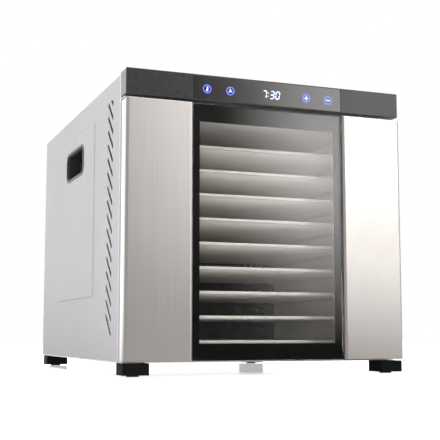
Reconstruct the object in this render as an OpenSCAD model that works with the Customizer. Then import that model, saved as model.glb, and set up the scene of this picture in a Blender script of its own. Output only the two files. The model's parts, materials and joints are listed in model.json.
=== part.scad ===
// Box dehydrator with a hinged glass door, nine sliding trays and a rear fan.
// Millimetres. X runs to the right along the front, the front looks towards -Y, Z is up.
// The origin is on the surface the feet stand on, at the middle of the outer box.

/* [Case] */
// Width over the case sides
body_w = 345; // [290:1:420]
// Depth of the case without the door
case_d = 432; // [360:1:520]
// Height of the case from its base to its top
case_h = 324; // [270:1:390]
// Thickness of the outer sheet
sheet_t = 1; // [0.8:0.1:1.4]
// Radius of the two long top edges
case_corner_r = 5; // [3:0.5:10]
// Depth of the front frame that the mouth is cut in
frame_t = 3; // [2.4:0.1:4]
// Distance of the rear panel from the rear edge of the case
rear_inset = 6; // [6:0.5:10]
// Width of the fold that the rear panel is screwed to
rear_fold_w = 12; // [9:0.5:16]

/* [Side panels] */
// Height that the pressed field stands out
emboss_h = 1; // [0.6:0.1:1.6]
// Pressed field, distance behind the case front
emboss_front = 120; // [90:1:150]
// Pressed field, distance before the case rear
emboss_rear = 99; // [70:1:110]
// Pressed field, distance above the case base
emboss_low = 74; // [60:1:100]
// Pressed field, distance below the case top
emboss_high = 31; // [24:1:40]
// Length of a vent slot
slot_l = 34; // [20:1:40]
// Width of a vent slot
slot_w = 5; // [3:0.1:6]
// Height from one vent slot to the next
slot_pitch = 16.5; // [12:0.5:22]
// Distance of the vent slots behind the case front
slot_back = 45; // [40:1:60]

/* [Handle cups] */
// Length of the cup's rim
cup_w = 100; // [80:1:115]
// Height of the cup's rim
cup_h = 40; // [36:1:50]
// Depth of the finger space
cup_d = 18; // [12:0.5:20]
// Wall of the cup
cup_wall = 2; // [1.6:0.1:2.5]
// Distance of the cup's rim below the case top
cup_top = 49; // [42:1:70]

/* [Feet] */
// Side of a square foot
foot_w = 30; // [24:1:36]
// Height of the foot block
foot_h = 13; // [10:0.5:18]
// Radius of the rubber pad under a foot
pad_r = 7; // [5:0.5:9]
// Height of the rubber pad
pad_h = 1.5; // [1:0.1:3]
// Distance of the rear feet before the case rear
rear_foot_inset = 8; // [4:1:20]

/* [Control panel] */
// Height of the control panel
panel_h = 30; // [26:1:40]
// Depth of the control panel in front of the case
panel_d = 21; // [16:0.5:24]
// Width of the glossy touch zone
lens_w = 188; // [170:1:210]
// Distance of the inner touch keys from the middle
key_in = 48.5; // [40:0.5:55]
// Distance of the outer touch keys from the middle
key_out = 77; // [65:0.5:82]

/* [Door] */
// Thickness of the door
door_t = 20.5; // [17:0.1:24]
// Gap between the door and the case front
door_gap = 3.5; // [3.5:0.1:5]
// Gap between the door and the control panel
top_gap = 4; // [3.5:0.1:6]
// Distance the steel panels stand proud of the glass
panel_proud = 3; // [2:0.1:4]
// Width of each steel panel
steel_w = 78; // [66:1:90]
// Depth of the steel panels
steel_d = 8; // [8:0.5:10]
// Thickness of the glass
glass_t = 4; // [3:0.1:4]
// Width of the black border at the sides of the window
border_side = 9.5; // [7:0.5:14]
// Height of the black border above the window
border_top = 20; // [16:0.5:26]
// Height of the black border below the window
border_low = 19; // [16:0.5:26]

/* [Hinge] */
// Distance of the hinge axis from the left edge of the door
pivot_in = 5; // [5:0.1:6]
// Distance of the hinge axis in front of the door's back
pivot_fwd = 4; // [3.6:0.1:4.5]
// Radius of the hinge pins
pin_r = 2; // [1.6:0.1:2.2]
// Radial running clearance of the hinge pins
pin_clear = 0.05; // [0.02:0.01:0.1]
// Length of a hinge pin inside the door
pin_l = 10; // [8:0.5:12]

/* [Chamber and trays] */
// Distance from the outer side of the case to the chamber
wall_gap = 24.5; // [22:0.5:30]
// Depth of the space between the rear baffle and the motor plate
fan_zone = 56; // [50:1:70]
// Depth of the motor space
motor_zone = 70; // [64:1:90]
// Height of the lowest tray above the chamber floor
first_tray = 10.2; // [8:0.2:16]
// Free height over the top tray
top_space = 34.6; // [28:0.2:40]
// Height of a tray's rim
tray_h = 3; // [2.4:0.1:4]
// Side clearance of a tray
tray_clear = 2.5; // [1.5:0.1:3.5]
// Distance of the trays behind the case front
tray_back = 16; // [12:0.5:20]
// Width of the rails
rail_w = 7; // [6:0.5:9]

/* [Fan] */
// Radius of the fan wheel
fan_r = 68; // [50:1:75]
// Width of the fan blades
blade_h = 22; // [16:1:26]
// Number of fan blades
blade_count = 12; // [8:1:16]
// Radius of the motor shaft
shaft_r = 2.5; // [2:0.1:3]

/* [Mains gland] */
// Radius of the cable hole in the gland
gland_bore_r = 3.6; // [3:0.1:4]
// Radius of the gland where it passes through the rear panel
gland_r = 8; // [7:0.1:9]

/* [Hidden] */

$fn = 48;
eps = 0.01;
half_w = body_w / 2;
total_d = case_d + door_gap + door_t;

// Heights
plate_t = 1.5;
case_z = pad_h + foot_h + plate_t;
top_z = case_z + case_h;
panel_z = top_z - panel_h;
door_rise = 0.5;
door_z = case_z + door_rise;
door_top = panel_z - top_gap;
door_h = door_top - door_z;

// Depths, from the front of the steel panels at -total_d / 2 to the case rear
front_y = -total_d / 2;
case_y = front_y + door_t + door_gap;
rear_y = case_y + case_d;
door_back = case_y - door_gap;
panel_y = case_y - panel_d;
glass_y = front_y + panel_proud;
frame_back = case_y + frame_t;
back_panel_t = 1.2;
back_y = rear_y - rear_inset - back_panel_t;
plate_y = back_y - motor_zone;
baffle_t = 1;
baffle_y = plate_y - fan_zone - baffle_t;

// Chamber
liner_t = 1;
mouth_w = body_w - 2 * wall_gap;
mouth_side = mouth_w / 2;
gasket_w = 7.5;
mouth_z = case_z + 9;
mouth_top = door_top - gasket_w - 1.5;
mouth_h = mouth_top - mouth_z;
chamber_d = baffle_y - frame_back;

// Trays
tray_total = 9;
tray_pitch = (mouth_h - first_tray - top_space) / (tray_total - 1);
tray_w = mouth_w - 2 * tray_clear;
tray_y = case_y + tray_back;
tray_rear_clear = 5;
tray_d = baffle_y - tray_rear_clear - tray_y;
tray_rim_w = 4;
tray_plate_t = 1;
tray_corner_r = 8;
rest_gap = 0.3;
fit_clear = 0.15;
hole_clear = 1;

// Hinge
pivot_x = -half_w + pivot_in;
pivot_y = door_back - pivot_fwd;
bush_r = 3;
bracket_front = pivot_y - 6;
bracket_w = 22;
leaf_t = 1.2;
leaf_h = 20;

// Fan axis
fan_x = 0;
fan_z = (mouth_z + mouth_top) / 2;

// A rectangle about the origin with round corners
module round_rect(w, h, r) {
  square([w - 2 * r, h], center = true);
  square([w, h - 2 * r], center = true);
  for (sx = [-1, 1], sy = [-1, 1])
    translate([sx * (w / 2 - r), sy * (h / 2 - r)]) circle(r);
}

// A flat ring in the XZ plane, growing towards +Y from y
module xz_ring(y, t, x_out, z0_out, z1_out, x_in, z0_in, z1_in) {
  difference() {
    translate([-x_out, y, z0_out]) cube([2 * x_out, t, z1_out - z0_out]);
    translate([-x_in, y - 1, z0_in]) cube([2 * x_in, t + 2, z1_in - z0_in]);
  }
}

// A cylinder along +Y that starts at y
module y_cyl(x, y, z, r, l) {
  translate([x, y, z]) rotate([-90, 0, 0]) cylinder(r = r, h = l);
}

// Mirrors a right-hand piece to the left
module on_side(side) {
  mirror([side < 0 ? 1 : 0, 0, 0]) children();
}

// ---------- Case ----------

// Outline of the folded shell seen from the front, inset all round
module shell_outline(inset) {
  r = case_corner_r - min(inset, case_corner_r - 1);
  w = body_w - 2 * inset;
  translate([-w / 2, case_z]) square([w, case_h - inset - r]);
  translate([-w / 2 + r, case_z]) square([w - 2 * r, case_h - inset]);
  for (sx = [-1, 1])
    translate([sx * (w / 2 - r), top_z - inset - r]) circle(r);
}

// The shell outline drawn out along Y
module shell_prism(inset, y, l) {
  translate([0, y + l, 0]) rotate([90, 0, 0]) linear_extrude(l) shell_outline(inset);
}

emboss_l = case_d - emboss_front - emboss_rear;
emboss_y = case_y + emboss_front + emboss_l / 2;
emboss_tall = case_h - emboss_low - emboss_high;
emboss_z = case_z + emboss_low + emboss_tall / 2;
emboss_slope = 1.6;
emboss_r = 4;
cup_z = top_z - cup_top - cup_h / 2;
cup_fit = 0.5;

// The pressed field on the right side, with sloping edges
module emboss() {
  translate([half_w, emboss_y, emboss_z]) rotate([90, 0, 90]) hull() {
    translate([0, 0, -sheet_t / 2]) linear_extrude(sheet_t / 2)
      round_rect(emboss_l, emboss_tall, emboss_r, $fn = 24);
    linear_extrude(emboss_h)
      round_rect(emboss_l - 2 * emboss_slope, emboss_tall - 2 * emboss_slope, emboss_r, $fn = 24);
  }
}

// A slot that leans down towards the front, drawn on the right side
module vent_slot(z) {
  translate([half_w - 3 * sheet_t, case_y + slot_back, z]) rotate([90, -45, 90])
    linear_extrude(6 * sheet_t) {
      square([slot_l - slot_w, slot_w], center = true);
      for (s = [-1, 1]) translate([s * (slot_l - slot_w) / 2, 0]) circle(slot_w / 2);
    }
}

vent_low = case_z + 27;
vent_high = top_z - 24;
vent_first = vent_high + 4.5;
vent_last = vent_low + slot_l / 3;

// All vent slots of the right side, cut off level at the top
module vent_slots() {
  intersection() {
    union() {
      for (z = [vent_first : -slot_pitch : vent_last]) vent_slot(z);
    }
    translate([half_w - 4 * sheet_t, case_y, vent_low - slot_l])
      cube([8 * sheet_t, 2 * slot_back, vent_high - vent_low + slot_l]);
  }
}

// Hole for the handle cup on the right side
module cup_hole() {
  translate([half_w - 3 * sheet_t, emboss_y, cup_z]) rotate([90, 0, 90])
    linear_extrude(6 * sheet_t) round_rect(cup_w - 2 * cup_lip, cup_h - 2 * cup_lip, cup_r - cup_lip);
}

// The folded outer sheet: left side, top and right side
module case_shell() {
  color([0.80, 0.80, 0.81]) difference() {
    union() {
      difference() {
        shell_prism(0, frame_back, case_d - frame_t);
        shell_prism_cut(sheet_t, frame_back - 1, case_d);
      }
      difference() {
        shell_prism(sheet_t / 2, back_y - sheet_t, sheet_t);
        shell_prism_cut(rear_fold_w, back_y - 2 * sheet_t, 3 * sheet_t);
      }
      for (side = [-1, 1]) on_side(side) emboss();
    }
    for (side = [-1, 1]) on_side(side) {
      vent_slots();
      cup_hole();
    }
    for (p = rear_screw_spots) y_cyl(p[0], back_y - 3 * sheet_t, p[1], screw_r, 6 * sheet_t);
  }
}

// The inside of the shell, open at the base
module shell_prism_cut(inset, y, l) {
  shell_prism(inset, y, l);
  w = body_w - 2 * inset;
  translate([-w / 2, y, case_z - 1]) cube([w, l, 2]);
}

// Base plate between the feet and the shell, notched for the lower hinge bracket
module base_plate() {
  color([0.72, 0.72, 0.73]) difference() {
    translate([-half_w + base_inset, case_y, case_z - plate_t])
      cube([body_w - 2 * base_inset, case_d - rear_inset, plate_t]);
    translate([-half_w, case_y - 1, case_z - 2 * plate_t])
      cube([bracket_w + sheet_t, bracket_depth + 1, 3 * plate_t]);
    for (p = foot_spots)
      translate([p[0], p[1] + fix_back, case_z - 2 * plate_t]) cylinder(r = screw_r, h = 3 * plate_t);
  }
}

base_inset = 0.3;
bracket_depth = foot_w;
harness_x = 110;
harness_z = panel_z + panel_h / 2;
harness_r = 3;

// Upright of the front frame with a rounded outer edge, on the right side
module frame_stile() {
  translate([0, 0, case_z]) linear_extrude(case_h) intersection() {
    translate([mouth_side, case_y]) square([half_w - mouth_side, frame_t]);
    union() {
      translate([mouth_side, case_y]) square([half_w - mouth_side - frame_t, frame_t]);
      translate([half_w - frame_t, case_y + frame_t]) circle(frame_t);
    }
  }
}

// Front frame with the chamber mouth
module front_frame() {
  color([0.78, 0.78, 0.79]) difference() {
    union() {
      for (side = [-1, 1]) on_side(side) frame_stile();
      translate([-mouth_side, case_y, case_z]) cube([mouth_w, frame_t, mouth_z - case_z]);
      translate([-mouth_side, case_y, mouth_top]) cube([mouth_w, frame_t, top_z - mouth_top]);
    }
    translate([-half_w + sheet_t, case_y - 1, top_tongue_z])
      cube([bracket_w, frame_t + 2, plate_t]);
    y_cyl(harness_x, case_y - 1, harness_z, harness_r + hole_clear, frame_t + 2);
  }
}

screw_r = 1.6;
screw_edge = 7;
rear_screw_x = half_w - screw_edge;
rear_screw_spots = [
  for (sx = [-1, 1], k = [0 : 2]) [sx * rear_screw_x, case_z + 30 + k * (case_h - 60) / 2],
  for (sx = [-1, 1]) [sx * body_w / 6, top_z - screw_edge]
];
gland_x = 118;
gland_z = case_z + 32;

// Rear panel with air slots in front of the motor and a hole for the gland
module rear_panel() {
  slot_rows = 9;
  row_pitch = 9;
  row_l = 96;
  color([0.70, 0.70, 0.71]) difference() {
    shell_prism(sheet_t, back_y, back_panel_t);
    for (k = [0 : slot_rows - 1])
      translate([0, back_y - 1, fan_z + (k - (slot_rows - 1) / 2) * row_pitch]) rotate([-90, 0, 0])
        linear_extrude(back_panel_t + 2) {
          square([row_l, slot_w], center = true);
          for (s = [-1, 1]) translate([s * row_l / 2, 0]) circle(slot_w / 2);
        }
    y_cyl(gland_x, back_y - 1, gland_z, gland_r + fit_clear, back_panel_t + 2);
    for (p = rear_screw_spots) y_cyl(p[0], back_y - 1, p[1], screw_r, back_panel_t + 2);
  }
}

// Eight screws that hold the rear panel to the fold of the shell
module rear_screws() {
  head_r = 3.2;
  head_t = 1.6;
  color([0.55, 0.55, 0.57]) for (p = rear_screw_spots) {
    y_cyl(p[0], back_y - 5, p[1], screw_r, back_panel_t + 5);
    y_cyl(p[0], back_y + back_panel_t, p[1], head_r, head_t);
  }
}

// ---------- Handle cups ----------

cup_lip = 2;
cup_bevel = 1.6;
cup_r = 12;
lip_t = 0.8;

// Recessed finger cup with a bevelled rim, drawn on the right side
module handle_cup(side) {
  shaft_w = cup_w - 2 * cup_lip - 2 * cup_fit;
  shaft_h = cup_h - 2 * cup_lip - 2 * cup_fit;
  shaft_edge_r = cup_r - cup_lip - cup_fit;
  inner_w = shaft_w - 2 * cup_wall;
  inner_h = shaft_h - 2 * cup_wall;
  inner_r = shaft_edge_r - cup_wall;
  lip_x = half_w + emboss_h;
  color([0.06, 0.06, 0.065]) on_side(side) translate([lip_x, emboss_y, cup_z]) rotate([90, 0, 90])
    difference() {
      union() {
        linear_extrude(lip_t) round_rect(cup_w, cup_h, cup_r);
        translate([0, 0, -cup_d - cup_wall]) linear_extrude(cup_d + cup_wall + eps)
          round_rect(shaft_w, shaft_h, shaft_edge_r);
      }
      translate([0, 0, -cup_d]) linear_extrude(cup_d + 2 * lip_t) round_rect(inner_w, inner_h, inner_r);
      hull() {
        translate([0, 0, -cup_wall]) linear_extrude(eps) round_rect(inner_w, inner_h, inner_r, $fn = 24);
        translate([0, 0, lip_t + eps]) linear_extrude(eps)
          round_rect(inner_w + 2 * cup_bevel, inner_h + 2 * cup_bevel, inner_r + cup_bevel, $fn = 24);
      }
    }
}

// ---------- Feet ----------

foot_x = half_w - foot_w / 2;
foot_front_y = panel_y + foot_w / 2;
foot_rear_y = rear_y - rear_foot_inset - foot_w / 2;
foot_spots = [for (sx = [-1, 1], y = [foot_front_y, foot_rear_y]) [sx * foot_x, y]];
plug_r = 4;
plug_h = 2.5;
head_r = 3.1;
head_rise = 6;
fix_back = foot_w / 2 - 6;

// Square foot block with a plug hole for its pad and a counterbored screw hole behind it
module foot(x, y) {
  color([0.05, 0.05, 0.055]) translate([x, y, 0]) difference() {
    translate([0, 0, pad_h]) linear_extrude(foot_h) round_rect(foot_w, foot_w, 2.5);
    cylinder(r = plug_r, h = pad_h + plug_h);
    translate([0, fix_back, 0]) cylinder(r = head_r, h = pad_h + head_rise);
    translate([0, fix_back, 0]) cylinder(r = screw_r, h = case_z);
  }
}

// Rubber pads plugged into the four feet
module foot_pads() {
  color([0.10, 0.10, 0.10]) for (p = foot_spots) translate([p[0], p[1], 0]) {
    cylinder(r = pad_r, h = pad_h);
    cylinder(r = plug_r, h = pad_h + plug_h);
  }
}

// Four screws that hold the feet, the front left one through the hinge bracket
module foot_screws() {
  head_z = pad_h + head_rise;
  head_t = 2;
  color([0.55, 0.55, 0.57]) for (p = foot_spots) translate([p[0], p[1] + fix_back, head_z]) {
    translate([0, 0, -head_t]) cylinder(r = head_r - 0.1, h = head_t);
    cylinder(r = screw_r, h = case_z - head_z);
  }
}

// ---------- Chamber ----------

// Side wall with a rail under each tray, drawn on the right side
module liner_side(side) {
  rail_t = 1.2;
  rail_front = 2;
  color([0.58, 0.57, 0.56]) on_side(side) {
    translate([mouth_side, frame_back, mouth_z]) cube([liner_t, chamber_d, mouth_h]);
    for (n = [0 : tray_total - 1])
      translate([mouth_side - rail_w, frame_back + rail_front, tray_z(n) - rest_gap - rail_t])
        cube([rail_w + liner_t / 2, chamber_d - rail_front, rail_t]);
  }
}

// Height of the underside of tray n
function tray_z(n) = mouth_z + first_tray + n * tray_pitch;

// Flat sheet below or above the chamber
module liner_flat(z) {
  color([0.58, 0.57, 0.56])
    translate([-mouth_side - liner_t, frame_back, z]) cube([mouth_w + 2 * liner_t, chamber_d, liner_t]);
}

// Perforated baffle: a round field in front of the fan and an outlet field at each side
module rear_baffle() {
  hole_r = 2.6;
  hole_pitch = 9;
  field_r = 46;
  field_x0 = mouth_side - 46;
  columns = 4;
  rows = floor((mouth_h - 50) / hole_pitch);
  ring_count = floor(field_r / hole_pitch);
  color([0.45, 0.45, 0.46]) translate([0, baffle_y + baffle_t, 0]) rotate([90, 0, 0])
    linear_extrude(baffle_t) difference() {
      translate([-mouth_side - liner_t, mouth_z - liner_t])
        square([mouth_w + 2 * liner_t, mouth_h + 2 * liner_t]);
      translate([fan_x, fan_z]) {
        circle(hole_r, $fn = 24);
        for (k = [1 : ring_count], a = [0 : 360 / (6 * k) : 359.9])
          rotate(a) translate([k * hole_pitch, 0]) circle(hole_r, $fn = 24);
      }
      for (sx = [-1, 1], c = [0 : columns - 1], r = [0 : rows - 1])
        translate([sx * (field_x0 + c * hole_pitch), fan_z + (r - (rows - 1) / 2) * hole_pitch])
          circle(hole_r, $fn = 24);
      translate([sensor_x, sensor_z]) circle(sensor_r + fit_clear);
    }
}

// One tray: a flat rim round a thin screen
module tray(n) {
  color([0.66, 0.64, 0.61]) translate([0, tray_y + tray_d / 2, tray_z(n)]) {
    linear_extrude(tray_h) difference() {
      round_rect(tray_w, tray_d, tray_corner_r);
      round_rect(tray_w - 2 * tray_rim_w, tray_d - 2 * tray_rim_w, tray_corner_r - tray_rim_w);
    }
    linear_extrude(tray_plate_t)
      square([tray_w - 2 * tray_rim_w + 1, tray_d - 2 * tray_rim_w + 1], center = true);
  }
}

// ---------- Control panel ----------

lens_t = 2;
lens_margin = 1;
lens_ledge = 3;
housing_t = 2.5;
lens_h = panel_h - 2 * lens_margin;
lens_z = panel_z + panel_h / 2;
window_w = lens_w - 2 * lens_ledge;
window_h = lens_h - 2 * lens_ledge;
board_t = 1.6;
module_t = 6;
board_y = panel_y + lens_t + module_t;

// Hollow housing along the top of the front
module control_housing() {
  edge_r = 1.5;
  color([0.16, 0.16, 0.17]) difference() {
    translate([0, panel_y + panel_d, lens_z]) rotate([90, 0, 0])
      linear_extrude(panel_d) round_rect(body_w, panel_h, edge_r);
    translate([-half_w + housing_t, panel_y + lens_t + 1, panel_z + housing_t])
      cube([body_w - 2 * housing_t, panel_d, panel_h - 2 * housing_t]);
    translate([-lens_w / 2, panel_y - 1, lens_z - lens_h / 2]) cube([lens_w, lens_t + 1, lens_h]);
    translate([-window_w / 2, panel_y - 1, lens_z - window_h / 2]) cube([window_w, panel_d, window_h]);
  }
}

// Glossy touch plate let into the housing
module touch_lens() {
  color([0.10, 0.10, 0.11]) translate([-lens_w / 2, panel_y, lens_z - lens_h / 2])
    cube([lens_w, lens_t, lens_h]);
}

// Four-digit display behind the touch plate
module display_module() {
  module_w = 32;
  module_h = 15;
  color([0.04, 0.04, 0.05]) translate([-module_w / 2, panel_y + lens_t, lens_z - module_h / 2])
    cube([module_w, module_t, module_h]);
}

// Contact springs between the board and the touch plate
module touch_springs() {
  spring_r = 4;
  color([0.75, 0.75, 0.72]) for (x = [-key_out, -key_in, key_in, key_out])
    y_cyl(x, panel_y + lens_t, lens_z, spring_r, module_t);
}

// Control board on four posts that reach the front frame
module control_board() {
  board_w = window_w - 4;
  board_h = window_h - 2;
  post_r = 2.5;
  color([0.05, 0.30, 0.14]) {
    translate([-board_w / 2, board_y, lens_z - board_h / 2]) cube([board_w, board_t, board_h]);
    for (sx = [-1, 1], sz = [-1, 1])
      y_cyl(sx * (board_w / 2 - 5), board_y, lens_z + sz * (board_h / 2 - 4), post_r, case_y - board_y);
  }
}

// ---------- Hinge ----------

top_tongue_z = door_top + top_gap - 2 * plate_t + 1;
bottom_tongue_z = case_z - plate_t;

// Angle bracket: a tongue that carries a pin and a leaf behind the front frame
module hinge_bracket(tongue_z, tongue_end) {
  color([0.62, 0.62, 0.63]) difference() {
    union() {
      translate([-half_w + sheet_t, bracket_front, tongue_z])
        cube([bracket_w, tongue_end - bracket_front, plate_t]);
      translate([-half_w + sheet_t, frame_back, tongue_z]) cube([bracket_w - 1, leaf_t, leaf_h]);
    }
    translate([pivot_x, pivot_y, tongue_z - 1]) cylinder(r = pin_r, h = plate_t + 2);
    translate([-foot_x, foot_front_y + fix_back, tongue_z - 1]) cylinder(r = screw_r, h = plate_t + 2);
  }
}

// The two pins riveted in the brackets
module hinge_pins() {
  color([0.20, 0.20, 0.21]) translate([pivot_x, pivot_y, 0]) {
    translate([0, 0, bottom_tongue_z]) cylinder(r = pin_r, h = door_z + pin_l - bottom_tongue_z);
    translate([0, 0, door_top - pin_l]) cylinder(r = pin_r, h = top_tongue_z + plate_t - door_top + pin_l);
  }
}

magnet_w = 8;
magnet_h = 26;
magnet_t = 5;
magnet_x = half_w - 8;
magnet_spots = [for (sz = [-1, 1]) (door_z + door_top) / 2 + sz * door_h / 3];

// Steel strips on the front frame that the magnets pull
module strike_plates() {
  color([0.70, 0.70, 0.71]) for (z = magnet_spots)
    translate([magnet_x - magnet_w / 2, door_back + rest_gap, z - magnet_h / 2])
      cube([magnet_w, door_gap - rest_gap, magnet_h]);
}

// ---------- Door ----------

frame_y = front_y + steel_d;
frame_inset = 0.8;
frame_side = half_w - frame_inset;
frame_deep = door_back - frame_y;
glass_fit = 0.3;
glass_half = half_w - steel_w - glass_fit;
window_half = glass_half - border_side;
window_low = door_z + border_low;
window_top = door_top - border_top;
frame_open = 4;
frame_wall = 2;
pocket_end = 15;

// Aluminium frame of the door, hollowed from the front in its uprights
module door_frame() {
  pocket_x = window_half + frame_open + frame_wall;
  color([0.74, 0.73, 0.71]) difference() {
    xz_ring(frame_y, frame_deep, frame_side, door_z, door_top,
      window_half + frame_open, window_low - frame_open, window_top + frame_open);
    for (side = [-1, 1]) on_side(side)
      translate([pocket_x, frame_y - 1, door_z + pocket_end])
        cube([frame_side - frame_wall - pocket_x, frame_deep - frame_wall + 1, door_h - 2 * pocket_end]);
    for (z = magnet_spots)
      translate([magnet_x - magnet_w / 2, door_back - magnet_t, z - magnet_h / 2])
        cube([magnet_w, magnet_t + 1, magnet_h]);
    for (end = [0, 1])
      translate([pivot_x, pivot_y, end * (door_h - bush_l) + door_z - (1 - end)])
        cylinder(r = bush_r, h = bush_l + 1);
    for (p = door_screw_spots)
      y_cyl(p[0], door_back - frame_wall - 1, p[1], screw_r, frame_wall + 2);
  }
}

bush_l = pin_l + 1.5;
door_screw_x = (window_half + half_w) / 2;
door_screw_spots = [
  for (sx = [-1, 1], k = [-1 : 1]) [sx * door_screw_x, (door_z + door_top) / 2 + k * door_h / 3.4]
];

// Folded stainless panel with rounded uprights, drawn on the right side
module steel_panel(side) {
  fold_r = 3;
  x0 = half_w - steel_w;
  color([0.72, 0.70, 0.68]) on_side(side) difference() {
    translate([x0, front_y, door_z]) linear_extrude(door_h) union() {
      translate([0, fold_r]) square([steel_w, steel_d - fold_r]);
      translate([fold_r, 0]) square([steel_w - 2 * fold_r, steel_d]);
      for (x = [fold_r, steel_w - fold_r]) translate([x, fold_r]) circle(fold_r);
    }
    translate([x0 + sheet_t, front_y + sheet_t, door_z + sheet_t])
      linear_extrude(door_h - 2 * sheet_t) union() {
        translate([0, fold_r - sheet_t]) square([steel_w - 2 * sheet_t, steel_d]);
        translate([fold_r - sheet_t, 0]) square([steel_w - 2 * fold_r, steel_d]);
        for (x = [fold_r - sheet_t, steel_w - fold_r - sheet_t])
          translate([x, fold_r - sheet_t]) circle(fold_r - sheet_t);
      }
  }
}

// Pane between the steel panels
module door_glass() {
  color([0.25, 0.27, 0.28, 0.4]) translate([-glass_half, glass_y, door_z])
    cube([2 * glass_half, glass_t, door_h]);
}

// Black border behind the pane, open at the window
module glass_surround() {
  color([0.03, 0.03, 0.035])
    xz_ring(glass_y + glass_t, frame_y - glass_y - glass_t, glass_half, door_z, door_top,
      window_half, window_low, window_top);
}

// Soft ring round the mouth, on the back of the door
module door_gasket() {
  color([0.12, 0.12, 0.12])
    xz_ring(door_back, door_gap - rest_gap, mouth_side + 1 + gasket_w, mouth_z - 1 - gasket_w + 0.5,
      mouth_top + 1 + gasket_w, mouth_side + 1, mouth_z - 1, mouth_top + 1);
}

// Two magnets let into the back of the door
module door_magnets() {
  color([0.30, 0.30, 0.31]) for (z = magnet_spots)
    translate([magnet_x - magnet_w / 2, door_back - magnet_t, z - magnet_h / 2])
      cube([magnet_w, magnet_t, magnet_h]);
}

// Six screws in the back of the door
module door_screws() {
  head_r = 3;
  head_t = 1.4;
  color([0.60, 0.60, 0.61]) for (p = door_screw_spots) {
    y_cyl(p[0], door_back - frame_wall - 3, p[1], screw_r, frame_wall + 3);
    y_cyl(p[0], door_back, p[1], head_r, head_t);
  }
}

// Two plain bushes that turn on the hinge pins
module hinge_bushes() {
  color([0.04, 0.04, 0.045]) for (end = [0, 1])
    translate([pivot_x, pivot_y, door_z + end * (door_h - bush_l)]) difference() {
      cylinder(r = bush_r, h = bush_l);
      translate([0, 0, end == 0 ? -1 : bush_l - pin_l - 0.5])
        cylinder(r = pin_r + pin_clear, h = pin_l + 1.5);
    }
}

// ---------- Fan, heater and wiring ----------

motor_plate_t = 1.2;
hub_r = 14;
wheel_back = plate_y - 12;
wheel_t = 1.2;
heater_r = fan_r + 16;
heater_tube = 3.2;
heater_y = plate_y - 26;
heater_gap = 20;
motor_r = 30;
motor_l = 46;
motor_boss_l = 6;

// Plate that closes the fan space and carries the motor and heater
module motor_plate() {
  color([0.60, 0.60, 0.61]) difference() {
    translate([-mouth_side - liner_t, plate_y, mouth_z - liner_t])
      cube([mouth_w + 2 * liner_t, motor_plate_t, mouth_h + 2 * liner_t]);
    y_cyl(fan_x, plate_y - 1, fan_z, shaft_r + 2, motor_plate_t + 2);
    for (s = [-1, 1])
      rotate_heater(90 + s * heater_gap / 2)
        y_cyl(heater_r, plate_y - 1, 0, heater_tube + fit_clear, motor_plate_t + 2);
  }
}

// Places a child at an angle round the fan axis, with 0 along +X
module rotate_heater(a) {
  translate([fan_x, 0, fan_z]) rotate([0, -a, 0]) children();
}

// Motor behind the plate, with the bore its shaft turns in
module fan_motor() {
  color([0.35, 0.35, 0.36]) difference() {
    union() {
      y_cyl(fan_x, plate_y + motor_plate_t, fan_z, motor_r, motor_l);
      y_cyl(fan_x, plate_y + motor_plate_t + motor_l, fan_z, motor_r / 3, motor_boss_l);
    }
    y_cyl(fan_x, plate_y, fan_z, shaft_r + pin_clear, motor_l * 0.8);
  }
}

// Shaft from the motor to the fan wheel
module motor_shaft() {
  shaft_start = wheel_back - blade_h + 2;
  color([0.75, 0.75, 0.76])
    y_cyl(fan_x, shaft_start, fan_z, shaft_r, plate_y + motor_l * 0.7 - shaft_start);
}

// Fan wheel: a disc with upright blades round a hub
module fan_wheel() {
  blade_t = 1.4;
  blade_in = 26;
  blade_lean = 25;
  color([0.68, 0.68, 0.69]) difference() {
    union() {
      y_cyl(fan_x, wheel_back - wheel_t, fan_z, fan_r, wheel_t);
      y_cyl(fan_x, wheel_back - blade_h, fan_z, hub_r, blade_h);
      for (k = [0 : blade_count - 1]) rotate_heater(k * 360 / blade_count)
        translate([blade_in, wheel_back - blade_h, 0]) rotate([0, blade_lean, 0])
          translate([0, 0, -blade_t / 2]) cube([fan_r - blade_in - 4, blade_h - wheel_t / 2, blade_t]);
    }
    y_cyl(fan_x, wheel_back - blade_h - 1, fan_z, shaft_r, blade_h + 2);
  }
}

// Open ring of heater tube with two ends through the motor plate
module heating_element() {
  end_l = plate_y + 14 - heater_y;
  color([0.30, 0.27, 0.25]) {
    translate([fan_x, heater_y, fan_z]) rotate([90, 0, 0]) rotate([0, 0, 90 + heater_gap / 2])
      rotate_extrude(angle = 360 - heater_gap) translate([heater_r, 0]) circle(heater_tube);
    for (s = [-1, 1]) rotate_heater(90 + s * heater_gap / 2) {
      y_cyl(heater_r, heater_y, 0, heater_tube, end_l);
      translate([heater_r, heater_y, 0]) sphere(heater_tube);
    }
  }
}

// Three clips that hold the heater ring off the motor plate
module heater_clips() {
  clip_w = 8;
  clip_t = 1.5;
  color([0.70, 0.70, 0.71]) for (a = [0, 180, 270]) rotate_heater(a)
    translate([heater_r + heater_tube, heater_y - heater_tube, -clip_w / 2])
      cube([clip_t, plate_y - heater_y + heater_tube, clip_w]);
}

sensor_r = 2.5;
sensor_x = 70;
sensor_z = mouth_top - 28;

// Temperature probe that reaches through the baffle
module temperature_sensor() {
  color([0.80, 0.80, 0.80]) {
    y_cyl(sensor_x, baffle_y - 12, sensor_z, sensor_r, 30);
    y_cyl(sensor_x, baffle_y + baffle_t, sensor_z, sensor_r * 2, 4);
  }
}

// Safety thermostat on the back of the motor plate
module thermal_cutout() {
  disc_r = 8;
  color([0.85, 0.83, 0.78]) {
    y_cyl(-60, plate_y + motor_plate_t, fan_z + 60, disc_r, 5);
    y_cyl(-60, plate_y + motor_plate_t + 5, fan_z + 60, disc_r * 0.75, 7);
  }
}

board_x = 52;
power_w = 84;
power_h = 64;
power_z = mouth_z + 40;
spacer_l = 8;

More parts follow.
